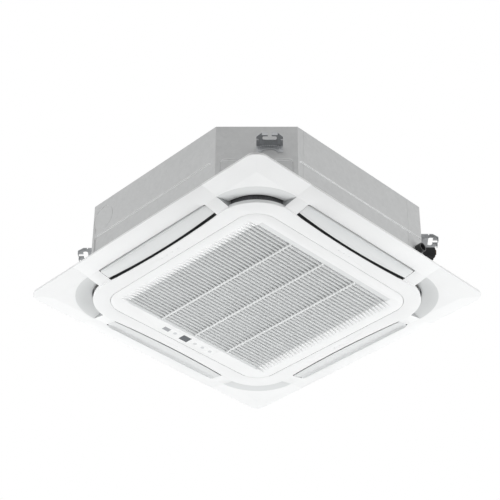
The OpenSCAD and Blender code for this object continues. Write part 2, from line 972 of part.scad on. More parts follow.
// Pressing of one wall, reaching from x0 to x1 off the wall's face and larger by grow
module press(wall, x0, x1, grow) {
    y2 = wall[2] - grow;
    y3 = wall[3] + grow;
    rotate(wall[0]) translate([wall[1] + x0, 0, body_z]) rotate([90, 0, 90])
        linear_extrude(x1 - x0) {
            translate([y2, -2 * press_r]) square([y3 - y2, press_h + press_r + grow]);
            translate([y2 + press_r, 0]) square([y3 - y2 - 2 * press_r, press_h + grow]);
            for (y = [y2 + press_r, y3 - press_r]) {
                translate([y, press_h + grow - press_r]) circle(press_r);
            }
        }
}

module casing_shell() {
    difference() {
        union() {
            slab(body_z, body_top - sheet_t) difference() {
                octagon(body_half, chamfer_far);
                octagon(body_half - sheet_t, chamfer_far - sheet_t);
            }
            slab(body_z, body_z + sheet_t) difference() {
                octagon(body_half, chamfer_far);
                octagon(body_half - flange_w, chamfer_far - flange_w);
            }
            intersection() {
                slab(body_z, body_top - sheet_t) octagon(body_half, chamfer_far);
                union() {
                    for (wall = walls) {
                        press(wall, -press_in, 0, sheet_t);
                    }
                }
            }
        }
        for (wall = walls) {
            press(wall, -press_d, cut, 0);
        }
    }
}

// The part of the casing between x0 and x1, and between y0 and y1
module casing_part(x0, x1, y0, y1) {
    intersection() {
        casing_shell();
        translate([x0, y0, 0]) cube([x1 - x0, y1 - y0, body_top]);
    }
}

left_seam = -wall_flat + left_lap;
right_seam = wall_flat - right_lap;

module casing_left() {
    color("darkgray") difference() {
        casing_part(-body_w, left_seam, -body_w, body_w);
        // Pressed outline of the fresh air knock-out
        translate([-body_half - cut, knock_y, knock_z]) rotate([0, 90, 0]) difference() {
            cylinder(d = knock_d, h = cut + knock_depth);
            cylinder(d = knock_d - 2 * knock_line, h = cut + knock_depth);
        }
    }
}

module casing_right() {
    color("darkgray") difference() {
        casing_part(right_seam, body_w, -body_w, body_w);
        pipe_holes();
        gland_hole();
        drain_hole();
    }
}

module casing_front() {
    color("darkgray") casing_part(left_seam + seam_gap, right_seam - seam_gap, -body_w, 0);
}

module casing_back() {
    color("darkgray") casing_part(left_seam + seam_gap, right_seam - seam_gap, 0, body_w);
}

motor_boss_d = 200;
top_bead_w = 10;

module top_plate() {
    color("darkgray") {
        slab(body_top - sheet_t, body_top) octagon(body_half, chamfer_far);
        // Beads pressed downwards from the corners towards the motor
        for (turn = [45:90:315]) {
            rotate(turn) translate([motor_boss_d / 2, -top_bead_w / 2, body_top - 2 * sheet_t])
                cube([motor_boss_d, top_bead_w, sheet_t]);
        }
        slab(body_top - 3 * sheet_t, body_top - sheet_t) difference() {
            circle(d = motor_boss_d + top_bead_w);
            circle(d = motor_boss_d);
        }
    }
}

module foam_liner() {
    top = body_top - 3 * sheet_t - liner_gap;
    color("white") difference() {
        slab(pan_top, top) octagon(liner_half, liner_far);
        slab(pan_top - cut, top - liner_t) octagon(liner_half - liner_t, liner_far - liner_t);
        slab(pan_top - cut, top + cut) circle(d = motor_boss_d + 2 * top_bead_w);
        // Eight wall slabs and a top slab, laid in with mitred joints
        slab(top - liner_t - seam_gap, top - liner_t) octagon(liner_half + cut, liner_far + cut);
        for (turn = [0:90:270], side = [-1, 1]) {
            rotate(turn + side * atan2(liner_far * sqrt(2) - liner_half, liner_half))
                translate([liner_half / 2, -seam_gap / 2, pan_top - cut])
                cube([liner_half, seam_gap, top - liner_t - seam_gap / 2 - pan_top + cut]);
        }
        pipe_holes();
        gland_hole();
        drain_hole();
    }
}

duct_side = 6;
duct_len = flap_len + 2 * duct_side;
duct_w = 46;
gutter_w = 60;
gutter_d = 16;
pan_lip = 14;

module drain_pan() {
    color("whitesmoke") difference() {
        slab(pan_z, pan_top) octagon(liner_half, liner_far);
        slab(pan_z - cut, pan_top - bell_ledge_h) rounded_square(intake_half, intake_r);
        slab(pan_z - cut, pan_top + cut)
            rounded_square(intake_half - pan_lip, intake_r - pan_lip);
        four_sides() translate([outlet_half - flange_w - duct_w, -duct_len / 2, pan_z - cut])
            cube([duct_w, duct_len, pan_h + 2 * cut]);
        // Gutter that catches the water under the coil
        slab(pan_top - gutter_d, pan_top + cut) difference() {
            rounded_square(coil_half + liner_t / 2, coil_r + liner_t / 2);
            rounded_square(coil_half + liner_t / 2 - gutter_w, coil_r + liner_t / 2 - gutter_w);
        }
        drain_hole();
    }
}

// Bell mouth: a square plate with a flared throat that guides the air into the fan

bell_half = intake_half - slide_gap;
throat_lap = 8;
throat_r = fan_inlet_d / 2 - throat_lap;
bell_flare = 49;
bell_r = throat_r + bell_flare;
throat_h = 34;
bell_steps = 8;

module bell_profile() {
    function flare(i, t) =
        let (a = 90 * i / bell_steps)
        [throat_r + (bell_r - throat_r) * (1 - sin(a)) + t * sin(a),
         bell_z + throat_h * (1 - cos(a)) + t * cos(a)];
    polygon(concat(
        [[bell_r + bell_t, bell_z]],
        [for (i = [0:bell_steps]) flare(i, 0)],
        [for (i = [bell_steps:-1:0]) flare(i, bell_t)],
        [[bell_r + bell_t, bell_z + bell_t]]
    ));
}

module bell_mouth() {
    color("white") {
        slab(bell_z, bell_z + bell_t) difference() {
            rounded_square(bell_half, intake_r - slide_gap);
            circle(bell_r);
        }
        rotate_extrude() bell_profile();
    }
}

// Turbo fan: hub and back plate, backward curved blades and inlet shroud in one moulding

fan_t = 3;
bell_entry = 6;
fan_z = bell_z + throat_h - bell_entry;
fan_top = fan_z + fan_h;
fan_r = fan_d / 2;
inlet_r = fan_inlet_d / 2;
hub_gap = 16;
hub_r = motor_d / 2 + hub_gap;
hub_foot_share = 0.8;
hub_drop = 66;
hub_z = fan_top - hub_drop;
shroud_rise = 42;
shroud_steps = 6;
blade_inner_share = 0.62;
blade_inner_r = fan_r * blade_inner_share;
blade_arc_share = 0.6;
blade_centre_share = 0.5;
blade_t = 4;

function shroud_point(i, lift) =
    let (a = 90 * i / shroud_steps)
    [inlet_r + (fan_r - inlet_r) * (1 - cos(a)), fan_z + shroud_rise * sin(a) + lift];

module shroud_profile() {
    polygon(concat(
        [[inlet_r, fan_z]],
        [for (i = [1:shroud_steps]) shroud_point(i, 0)],
        [for (i = [shroud_steps:-1:1]) shroud_point(i, fan_t)],
        [[inlet_r + slide_gap, fan_z + shroud_rise / 2], [inlet_r - fan_t, fan_z + shroud_rise / 2],
         [inlet_r - fan_t, fan_z]]
    ));
}

hub_boss_r = 16;
hub_boss_h = 22;

module back_plate_profile() {
    polygon([
        [shaft_d / 2, hub_z], [hub_boss_r, hub_z], [hub_r * hub_foot_share, hub_z + fan_t],
        [hub_r, hub_z + hub_drop / 3], [hub_r + fan_t, fan_top - 2 * fan_t],
        [fan_r, fan_top - fan_t], [fan_r, fan_top], [hub_r, fan_top - fan_t],
        [hub_r - fan_t, hub_z + hub_drop / 3 + fan_t], [hub_r * hub_foot_share - fan_t, hub_z + 2 * fan_t],
        [hub_boss_r, hub_z + fan_t], [hub_boss_r, hub_z + hub_boss_h], [shaft_d / 2, hub_z + hub_boss_h]
    ]);
}

// The space between shroud and back plate that the blades fill. The shroud is a ring of its
// own, welded to the blades along a fine seam.
weld_gap = 0.2;

module blade_space() {
    foot = fan_t + weld_gap;
    polygon(concat(
        [for (i = [shroud_steps:-1:2]) shroud_point(i, foot)],
        [[blade_inner_r, shroud_point(2, foot)[1]], [blade_inner_r, fan_top - fan_t],
         [fan_r, fan_top - fan_t / 2]]
    ));
}

module blade_outline() {
    difference() {
        translate([fan_r * blade_centre_share, 0]) circle(fan_r * blade_arc_share);
        translate([fan_r * blade_centre_share, 0]) circle(fan_r * blade_arc_share - blade_t);
        translate([-fan_d, -2 * fan_d]) square([2 * fan_d, 2 * fan_d]);
    }
}

module turbo_fan() {
    color("whitesmoke") {
        rotate_extrude() shroud_profile();
        rotate_extrude() back_plate_profile();
        intersection() {
            rotate_extrude() blade_space();
            slab(fan_z, fan_top) for (i = [0:blade_count - 1]) {
                rotate(360 * i / blade_count) blade_outline();
            }
        }
    }
}

motor_h = 48;
motor_nose = 4;
motor_z = fan_top - hub_drop + hub_boss_h + 2 * motor_nose;
nut_h = 8;
nut_d = 22;

module motor_shaft() {
    color("silver") translate([0, 0, hub_z - 2 * nut_h])
        cylinder(d = shaft_d, h = motor_z - hub_z + 2 * nut_h + motor_h / 2 - slide_gap);
}

module fan_nut() {
    color("silver") translate([0, 0, hub_z - nut_h]) difference() {
        cylinder(d = nut_d, h = nut_h, $fn = 6);
        translate([0, 0, -cut]) cylinder(d = shaft_d, h = nut_h + 2 * cut, $fn = 96);
    }
}

lug_reach = 14;
lug_r = motor_d / 2 + lug_reach;
lug_t = 4;
lug_drop = 12;
lug_z = motor_z + motor_h - lug_drop;
mount_d = 20;
lug_hole_d = 8;

module fan_motor() {
    color("silver") difference() {
        union() {
            translate([0, 0, motor_z]) cylinder(d = motor_d, h = motor_h);
            translate([0, 0, motor_z - motor_nose]) cylinder(d = motor_d / 3, h = motor_nose + cut);
            for (turn = [0:120:240]) {
                rotate(turn) slab(lug_z, lug_z + lug_t) {
                    translate([0, -mount_d / 2]) square([lug_r, mount_d]);
                    translate([lug_r, 0]) circle(d = mount_d);
                }
            }
        }
        translate([0, 0, motor_z - motor_nose - cut])
            cylinder(d = shaft_d + 2 * running_gap, h = motor_nose + 2 * cut + motor_h / 2);
        for (turn = [0:120:240]) {
            rotate(turn) translate([lug_r, 0, lug_z - cut])
                cylinder(d = lug_hole_d, h = lug_t + 2 * cut);
        }
    }
}

module motor_mounts() {
    color("black") for (turn = [0:120:240]) {
        rotate(turn) translate([lug_r, 0, lug_z + lug_t])
            cylinder(d = mount_d, h = body_top - sheet_t - lug_z - lug_t);
    }
}

// Heat exchanger: a finned coil round the fan, open at the front right corner for its pipes

coil_z = pan_top - gutter_d;
coil_top = body_top - 3 * sheet_t - liner_gap - liner_t - liner_gap;
coil_open = 126;
coil_end = coil_half - coil_open;
tube_d = 8;
tube_pitch = 21;
tube_rows = 8;
end_plate_t = 1.5;

module coil_outline() {
    difference() {
        rounded_square(coil_half, coil_r);
        rounded_square(coil_half - coil_t, coil_r - coil_t);
        translate([coil_end, -coil_end - panel_w]) square(panel_w);
    }
}

fin_slot = 1.5;
fin_pitch = 26;
fin_groove = 2;

module coil_fins() {
    fin_count = floor(2 * (coil_half - coil_r) / fin_pitch);
    color("lightgray") difference() {
        slab(coil_z, coil_top) coil_outline();
        for (turn = [90, 180], i = [0:fin_count]) {
            rotate(turn) translate([
                coil_half - fin_groove, (i - fin_count / 2) * fin_pitch - fin_slot / 2, coil_z - cut
            ]) cube([2 * fin_groove, fin_slot, coil_top - coil_z + 2 * cut]);
        }
    }
}

module hairpin() {
    rotate([90, 0, 0]) intersection() {
        rotate_extrude($fn = 48) translate([tube_pitch / 2, 0]) circle(d = tube_d, $fn = 24);
        translate([0, -tube_pitch, -tube_pitch]) cube(2 * tube_pitch);
    }
}

module coil_end_set() {
    mid = coil_half - coil_t / 2;
    translate([coil_end, -coil_half, coil_z]) cube([end_plate_t, coil_t, coil_top - coil_z]);
    for (row = [0:2:tube_rows - 2], col = [-1, 1]) {
        translate([
            coil_end + end_plate_t, -mid + col * coil_t / 4,
            coil_z + tube_pitch + row * tube_pitch
        ]) hairpin();
    }
}

module coil_ends() {
    color("peru") {
        coil_end_set();
        mirror([1, 1, 0]) coil_end_set();
    }
}

// Pipes through the front right chamfer, placed along it and outwards from the centre line

gas_q = -80;
gas_z = 121.5;
liquid_q = -32;
liquid_z = 140;
stub_out = 44;
gas_sleeve_d = 30;
liquid_sleeve_d = 22;
pipe_wall = 1;
gas_depth = 81;
liquid_depth = 101;
gas_in = chamfer_far - gas_depth;
liquid_in = chamfer_far - liquid_depth;
header_d = 20;
header_h = 90;
pipe_turn = -45;

module at_pipe(q, z, far) {
    rotate(pipe_turn) translate([far, q, z]) rotate([0, 90, 0]) children();
}

module pipe_holes() {
    at_pipe(gas_q, gas_z, liner_far - 2 * liner_t)
        cylinder(d = gas_sleeve_d + 2 * slide_gap, h = 4 * liner_t);
    at_pipe(liquid_q, liquid_z, liner_far - 2 * liner_t)
        cylinder(d = liquid_sleeve_d + 2 * slide_gap, h = 4 * liner_t);
}

module pipe_stub(d, q, z, from) {
    len = chamfer_far + stub_out - from;
    difference() {
        at_pipe(q, z, from) cylinder(d = d, h = len);
        at_pipe(q, z, from + header_d) cylinder(d = d - 2 * pipe_wall, h = len);
    }
    rotate(pipe_turn) translate([from, q, z - header_d])
        cylinder(d = header_d, h = header_h);
}

module gas_pipe() {
    color("peru") pipe_stub(gas_d, gas_q, gas_z, gas_in);
}

module liquid_pipe() {
    color("peru") pipe_stub(liquid_d, liquid_q, liquid_z, liquid_in);
}

sleeve_len = 60;
sleeve_short = 3;

module pipe_sleeve(outer, d, q, z) {
    far = chamfer_far + stub_out - sleeve_short - sleeve_len;
    difference() {
        at_pipe(q, z, far) cylinder(d = outer, h = sleeve_len);
        at_pipe(q, z, far - cut) cylinder(d = d, h = sleeve_len + 2 * cut);
    }
}

module pipe_sleeves() {
    color("black") {
        pipe_sleeve(gas_sleeve_d, gas_d, gas_q, gas_z);
        pipe_sleeve(liquid_sleeve_d, liquid_d, liquid_q, liquid_z);
    }
}

plate_t = 1.2;
plate_edge = 12;

module piping_plate() {
    color("darkgray") difference() {
        rotate(pipe_turn) translate([
            chamfer_far, gas_q - gas_sleeve_d / 2 - plate_edge / 2,
            gas_z - gas_sleeve_d / 2 - plate_edge
        ]) cube([
            plate_t, liquid_q - gas_q + gas_sleeve_d / 2 + liquid_sleeve_d / 2 + plate_edge,
            liquid_z - gas_z + gas_sleeve_d / 2 + liquid_sleeve_d / 2 + 2 * plate_edge
        ]);
        pipe_holes();
    }
}

drain_inset = 176;
drain_x = body_half - drain_inset;
drain_z = 101.5;
drain_out = 16;
drain_in = 30;
drain_bore = 21;
neck_gap = 1;
neck_d = drain_d - 2 * neck_gap;

module drain_hole() {
    translate([drain_x, -body_half - cut, drain_z]) rotate([-90, 0, 0])
        cylinder(d = neck_d + 2 * slide_gap, h = 2 * drain_in + 3 * liner_t);
}

module drain_socket() {
    color("black") translate([drain_x, -body_half - drain_out, drain_z]) rotate([-90, 0, 0])
        difference() {
            union() {
                cylinder(d = drain_d, h = drain_out);
                cylinder(d = neck_d, h = drain_out + drain_in);
            }
            translate([0, 0, -cut]) cylinder(d = drain_bore, h = drain_out + drain_in - plate_edge);
        }
}

// Pump and float switch stand on the floor of the gutter, at the coil's open corner
sump_z = pan_top - gutter_d;
gutter_mid_r = coil_r + liner_t / 2 - gutter_w / 2;
pump_turn = -14;
pump_d = 44;
pump_h = 74;
pump_leg_h = 40;
float_turn = -45;
float_stem_d = 8;
float_stem_h = 76;
float_d = 26;
float_h = 18;
float_travel = 12;

module in_gutter(turn) {
    corner = coil_half - coil_r;
    translate([corner, -corner, 0]) rotate(turn) translate([gutter_mid_r, 0, 0]) children();
}

module drain_pump() {
    body_foot = sump_z + pump_leg_h;
    color("lightgray") in_gutter(pump_turn) {
        slab(body_foot, body_foot + pump_h) circle(d = pump_d);
        slab(sump_z, body_foot) circle(d = pump_d / 2);
    }
}

module float_guide() {
    color("white") in_gutter(float_turn) {
        slab(sump_z, sump_z + float_stem_h) circle(d = float_stem_d);
        slab(sump_z, sump_z + plate_t) circle(d = float_d);
        // Head that stops the float
        slab(sump_z + plate_t + float_h + float_travel + 2 * slide_gap, sump_z + float_stem_h)
            circle(d = float_stem_d * 2);
    }
}

module float_ring() {
    z0 = sump_z + plate_t + slide_gap;
    color("ivory") in_gutter(float_turn) slab(z0, z0 + float_h) difference() {
        circle(d = float_d);
        circle(d = float_stem_d + 2 * slide_gap);
    }
}

// Control box beside the bell mouth, above the back border of the grille

box_w = 300;
box_gap = 8;
box_d = 62;
box_y1 = intake_half - box_gap;
box_y0 = box_y1 - box_d;
box_z0 = 36;
box_wall = 1.2;

module control_box() {
    color("silver") difference() {
        translate([-box_w / 2, box_y0, box_z0]) cube([box_w, box_y1 - box_y0, bell_z - box_z0]);
        translate([-box_w / 2 + box_wall, box_y0 + box_wall, box_z0 - cut])
            cube([box_w - 2 * box_wall, box_y1 - box_y0 - 2 * box_wall, bell_z - box_z0 - box_wall + cut]);
    }
}

module control_lid() {
    color("silver") translate([-box_w / 2, box_y0, box_z0 - box_wall])
        cube([box_w, box_y1 - box_y0, box_wall]);
}

gland_y = -150;
gland_z = 180;
gland_d = 27;
gland_flange = 4;
gland_bore = 14;

module gland_hole() {
    translate([body_half - 3 * liner_t, gland_y, gland_z]) rotate([0, 90, 0])
        cylinder(d = gland_d, h = 4 * liner_t);
}

module cable_gland() {
    color("black") translate([body_half - liner_t - press_in, gland_y, gland_z]) rotate([0, 90, 0])
        difference() {
            union() {
                cylinder(d = gland_d, h = liner_t + press_in);
                translate([0, 0, liner_t + press_in])
                    cylinder(d = gland_d + 2 * gland_flange, h = gland_flange);
            }
            translate([0, 0, -cut])
                cylinder(d = gland_bore, h = liner_t + press_in + gland_flange + 2 * cut);
        }
}

// Sheet hooks at the foot of the chamfers that take the four panel screws

hook_w = 60;
hook_t = 2;
hook_leg = 24;
hook_end = 24;

module panel_hooks() {
    color("dimgray") for (turn = [45:90:315]) {
        rotate(turn) difference() {
            union() {
                translate([chamfer_far - press_d, -hook_w / 2, body_z])
                    cube([screw_far + hook_end / 2 - chamfer_far + press_d, hook_w, hook_t]);
                translate([chamfer_far - press_d, -hook_w / 2, body_z])
                    cube([hook_t, hook_w, hook_leg]);
            }
            translate([screw_far, 0, body_z - cut]) cylinder(d = screw_d, h = hook_t + 2 * cut);
        }
    }
}

// Hanging brackets: a plate with a cross slot that opens outwards through a narrow mouth

bracket_t = 2;
bracket_leg = 22;
bracket_lip = 8.5;
corner_x = 18;
corner_y = 15;
hang_far = (hang_x + hang_y) / 2 / sqrt(2);
hang_side = (hang_y - hang_x) / 2 / sqrt(2);
slot_r = 5;
notch_w = 3;
notch_l = 6;
notch_share = 0.46;
arch_share = 0.8;
bend_hole_d = 3;
bend_holes = 9;

module bracket_plan() {
    half = bracket_w / 2;
    rod = hang_far - chamfer_far;
    difference() {
        polygon([
            [0, -half], [bracket_reach - corner_x, -half], [bracket_reach, -half + corner_y],
            [bracket_reach, half - corner_y], [bracket_reach - corner_x, half], [0, half]
        ]);
        translate([rod, 0]) rounded_rect(slot_w, slot_len, slot_r);
        translate([rod, -mouth_w / 2]) square([bracket_reach, mouth_w]);
        for (side = [-1, 1]) {
            translate([bracket_reach * notch_share, side * half - notch_l])
                square([notch_w, 2 * notch_l]);
        }
    }
}

// Row of holes in the bend, drilled square to it
module bend_row() {
    for (i = [0:bend_holes - 1]) {
        translate([0, (i - (bend_holes - 1) / 2) * 2 * bend_hole_d, bracket_z + bracket_t])
            rotate([0, 135, 0]) cylinder(d = bend_hole_d, h = 4 * bracket_t, center = true);
    }
}

module bracket(turn, side) {
    half = bracket_w / 2;
    lip_half = half - corner_y;
    color("dimgray") rotate(turn) translate([chamfer_far, side * hang_side, 0]) {
        difference() {
            slab(bracket_z, bracket_z + bracket_t) bracket_plan();
            bend_row();
        }
        for (edge = [-1, 1]) {
            translate([
                bracket_reach - bracket_t,
                edge > 0 ? mouth_w / 2 : -lip_half, bracket_z - bracket_lip
            ]) cube([bracket_t, lip_half - mouth_w / 2, bracket_lip]);
        }
        difference() {
            translate([0, -half, bracket_z - bracket_leg]) cube([bracket_t, bracket_w, bracket_leg]);
            translate([-cut, 0, bracket_z - bracket_leg - bracket_w / 4])
                rotate([0, 90, 0]) cylinder(d = bracket_w * arch_share, h = bracket_t + 2 * cut);
            bend_row();
        }
    }
}

module bracket_back_right() {
    bracket(45, 1);
}

module bracket_back_left() {
    bracket(135, -1);
}

module bracket_front_left() {
    bracket(225, 1);
}

module bracket_front_right() {
    bracket(315, -1);
}

// Small screws of the casing and the brackets

small_screw_d = 8;
small_screw_h = 2.5;

module casing_screws() {
    color("silver") {
        for (turn = [45:90:315], side = [-1, 1]) {
            swing = turn % 180 == 45 ? 1 : -1;
            rotate(turn) translate([
                chamfer_far + bracket_t, swing * hang_side + side * bracket_w / 3,
                bracket_z - bracket_leg / 3
            ]) rotate([0, 90, 0]) cylinder(d = small_screw_d, h = small_screw_h);
        }
    }
}

panel_frame();
inner_frame();
duct_lining();
panel_seals();
panel_screws();
corner_cover_front_left();
corner_cover_front_right();
corner_cover_back_left();
corner_cover_back_right();
flap_front();
flap_back();
flap_left();
flap_right();
flap_motors();
flap_bushes();
intake_grille();
grille_arms();
hinge_pins();
grille_snaps();
filter_frame();
filter_mesh();
display_window();
display_screen();
receiver_lens();
indicator_lenses();
display_button();
display_housing();
display_board();
casing_left();
casing_right();
casing_front();
casing_back();
top_plate();
foam_liner();
drain_pan();
bell_mouth();
turbo_fan();
motor_shaft();
fan_nut();
fan_motor();
motor_mounts();
coil_fins();
coil_ends();
gas_pipe();
liquid_pipe();
pipe_sleeves();
piping_plate();
drain_socket();
drain_pump();
float_guide();
float_ring();
control_box();
control_lid();
cable_gland();
panel_hooks();
bracket_front_left();
bracket_front_right();
bracket_back_left();
bracket_back_right();
casing_screws();
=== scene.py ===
import json
import math

import bmesh
import bpy
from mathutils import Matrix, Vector


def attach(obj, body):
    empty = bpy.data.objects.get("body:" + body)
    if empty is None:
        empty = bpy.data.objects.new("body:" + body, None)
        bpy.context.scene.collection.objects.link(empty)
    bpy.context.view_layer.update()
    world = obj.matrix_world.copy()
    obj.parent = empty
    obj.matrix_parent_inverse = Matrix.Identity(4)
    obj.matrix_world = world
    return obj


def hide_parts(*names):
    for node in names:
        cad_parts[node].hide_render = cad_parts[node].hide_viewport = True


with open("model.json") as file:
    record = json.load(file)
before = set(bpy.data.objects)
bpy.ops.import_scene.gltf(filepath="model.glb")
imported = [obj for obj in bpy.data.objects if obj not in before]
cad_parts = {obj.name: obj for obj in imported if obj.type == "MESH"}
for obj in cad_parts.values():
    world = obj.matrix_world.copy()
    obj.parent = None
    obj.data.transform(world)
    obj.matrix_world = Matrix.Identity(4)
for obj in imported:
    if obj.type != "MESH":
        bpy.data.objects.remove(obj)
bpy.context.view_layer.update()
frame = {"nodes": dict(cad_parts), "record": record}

nodes = frame["nodes"]
body_of = {node: body for body, members in frame["record"]["behaviour"]["bodies"].items()
           for node in members}
slot_of = {part["node"]: part["material_slot"] for part in frame["record"]["subparts"]}
MM = 0.001

# Camera: looks up at the hanging unit along the panel's diagonal. Its place, turn and lens were
# solved from the vanishing points, so they are odd numbers.
camera_data = bpy.data.cameras.new("camera")
camera_data.sensor_width = 36
camera_data.lens = 112.18
camera_data.shift_x = -0.02176
camera_data.clip_start = 0.1
camera = bpy.data.objects.new("camera", camera_data)
camera.location = (-2.67263, -2.68767, -2.54038)
camera.rotation_euler = (math.radians(90 + 35.745), 0, math.radians(-45.012))
bpy.context.scene.collection.objects.link(camera)
bpy.context.scene.camera = camera


# Colours and nodes

def linear(hex_colour):
    """A hex sRGB colour as linear RGBA."""
    out = []
    for i in (1, 3, 5):
        c = int(hex_colour[i:i + 2], 16) / 255
        out.append(c / 12.92 if c <= 0.04045 else ((c + 0.055) / 1.055) ** 2.4)
    return (*out, 1)


def add_node(tree, kind, settings=None, sockets=None):
    """Adds a node; a socket takes a value, or a pair of another node and its output's name."""
    node = tree.nodes.new(kind)
    for key, value in (settings or {}).items():
        setattr(node, key, value)
    for key, value in (sockets or {}).items():
        if isinstance(value, tuple) and len(value) == 2 and isinstance(value[0], bpy.types.Node):
            tree.links.new(value[0].outputs[value[1]], node.inputs[key])
        else:
            node.inputs[key].default_value = value
    return node


def new_material(name):
    """An empty material, its node tree and the node that gives Object coordinates."""
    material = bpy.data.materials.new(name)
    material.use_nodes = True
    tree = material.node_tree
    tree.nodes.clear()
    place = add_node(tree, "ShaderNodeTexCoord")
    return material, tree, place


def finish_material(tree, shader):
    add_node(tree, "ShaderNodeOutputMaterial", None, {"Surface": (shader, "BSDF")})


def set_steps(ramp, steps):
    """Gives a colour ramp its steps, each a position and a colour."""
    while len(ramp.elements) < len(steps):
        ramp.elements.new(0.5)
    for element, (position, colour) in zip(ramp.elements, steps):
        element.position = position
        element.color = colour


# What the real surfaces measure
FLOW = 90 * MM
GRAIN_HEIGHT = 0.1 * MM
SHEET_WAVE = 30 * MM
SHEET_WAVE_HEIGHT = 0.3 * MM
BEAD_HEIGHT = 0.4 * MM
THREAD_HEIGHT = 0.3 * MM
# Pitch of a wave texture's bands at scale 1
BAND = 0.314
PLASTIC_IOR = 1.5
# Share of a sheet's tone that comes from its waves, the rest comes from the crystals
WAVE_SHARE = 0.55
# The sheet shows both the metal and the matt skin that dulls it
SHEET_METAL = 0.5


def moulded_plastic(name, colour, shade, roughness, grain_mm, depth):
    """Injection moulded plastic: a fine spark-eroded grain, and flow that shifts the tone a bit."""
    material, tree, place = new_material(name)
    grain = add_node(tree, "ShaderNodeTexNoise", None,
                     {"Vector": (place, "Object"), "Scale": 1 / (grain_mm * MM), "Detail": 3.0})
    flow = add_node(tree, "ShaderNodeTexNoise", None,
                    {"Vector": (place, "Object"), "Scale": 1 / FLOW, "Detail": 2.0})
    tone = add_node(tree, "ShaderNodeValToRGB", None, {"Fac": (flow, "Fac")})
    set_steps(tone.color_ramp, [(0.3, linear(shade)), (0.7, linear(colour))])
    gloss = add_node(tree, "ShaderNodeMapRange", None,
                     {"Value": (grain, "Fac"), "From Min": 0.3, "From Max": 0.7,
                      "To Min": roughness - 0.06, "To Max": roughness + 0.06})
    bump = add_node(tree, "ShaderNodeBump", None,
                    {"Height": (grain, "Fac"), "Strength": depth, "Distance": GRAIN_HEIGHT})
    shader = add_node(tree, "ShaderNodeBsdfPrincipled", None,
                      {"Base Color": (tone, "Color"), "Roughness": (gloss, "Result"),
                       "Normal": (bump, "Normal"), "IOR": PLASTIC_IOR})
    finish_material(tree, shader)
    return material


def galvanised_sheet(name, colour, shade, roughness, spangle_mm):
    """Hot-dip galvanised sheet: flat zinc crystals that each catch the light a bit differently."""
    material, tree, place = new_material(name)
    waves = add_node(tree, "ShaderNodeTexNoise", None,
                     {"Vector": (place, "Object"), "Scale": 1 / SHEET_WAVE, "Detail": 2.0})
    crystals = add_node(tree, "ShaderNodeTexVoronoi", {"feature": "F1"},
                        {"Vector": (place, "Object"), "Scale": 1 / (spangle_mm * MM)})
    split = add_node(tree, "ShaderNodeSeparateColor", None, {"Color": (crystals, "Color")})
    blend = add_node(tree, "ShaderNodeMix", {"data_type": "FLOAT"},
                     {0: WAVE_SHARE, 2: (split, "Red"), 3: (waves, "Fac")})
    tone = add_node(tree, "ShaderNodeValToRGB", None, {"Fac": (blend, 0)})
    set_steps(tone.color_ramp, [(0.2, linear(shade)), (0.8, linear(colour))])
    gloss = add_node(tree, "ShaderNodeMapRange", None,
                     {"Value": (split, "Green"),
                      "To Min": roughness - 0.05, "To Max": roughness + 0.07})
    bump = add_node(tree, "ShaderNodeBump", None,
                    {"Height": (waves, "Fac"), "Strength": 0.06, "Distance": SHEET_WAVE_HEIGHT})
    shader = add_node(tree, "ShaderNodeBsdfPrincipled", None,
                      {"Base Color": (tone, "Color"), "Roughness": (gloss, "Result"),
                       "Normal": (bump, "Normal"), "Metallic": SHEET_METAL})
    finish_material(tree, shader)
    return material


def plated_metal(name, colour, shade, roughness, grain_mm):
    """Plated or drawn metal: an even sheen with a fine cloud in its roughness."""
    material, tree, place = new_material(name)
    cloud = add_node(tree, "ShaderNodeTexNoise", None,
                     {"Vector": (place, "Object"), "Scale": 1 / (grain_mm * MM), "Detail": 4.0})
    tone = add_node(tree, "ShaderNodeValToRGB", None, {"Fac": (cloud, "Fac")})
    set_steps(tone.color_ramp, [(0.3, linear(shade)), (0.7, linear(colour))])
    gloss = add_node(tree, "ShaderNodeMapRange", None,
                     {"Value": (cloud, "Fac"),
                      "To Min": roughness - 0.08, "To Max": roughness + 0.1})
    shader = add_node(tree, "ShaderNodeBsdfPrincipled", None,
                      {"Base Color": (tone, "Color"), "Roughness": (gloss, "Result"),
                       "Metallic": 1.0})
    finish_material(tree, shader)
    return material


def foam(name, colour, shade, bead_mm, roughness):
    """Steam-moulded foam: packed beads that show as cells with darker joints."""
    material, tree, place = new_material(name)
    beads = add_node(tree, "ShaderNodeTexVoronoi", {"feature": "DISTANCE_TO_EDGE"},
                     {"Vector": (place, "Object"), "Scale": 1 / (bead_mm * MM)})
    tone = add_node(tree, "ShaderNodeValToRGB", None, {"Fac": (beads, "Distance")})
    set_steps(tone.color_ramp, [(0.0, linear(shade)), (0.14, linear(colour))])
    bump = add_node(tree, "ShaderNodeBump", None,
                    {"Height": (beads, "Distance"), "Strength": 0.35, "Distance": BEAD_HEIGHT})
    shader = add_node(tree, "ShaderNodeBsdfPrincipled", None,
                      {"Base Color": (tone, "Color"), "Roughness": roughness,
                       "Normal": (bump, "Normal")})
    finish_material(tree, shader)
    return material


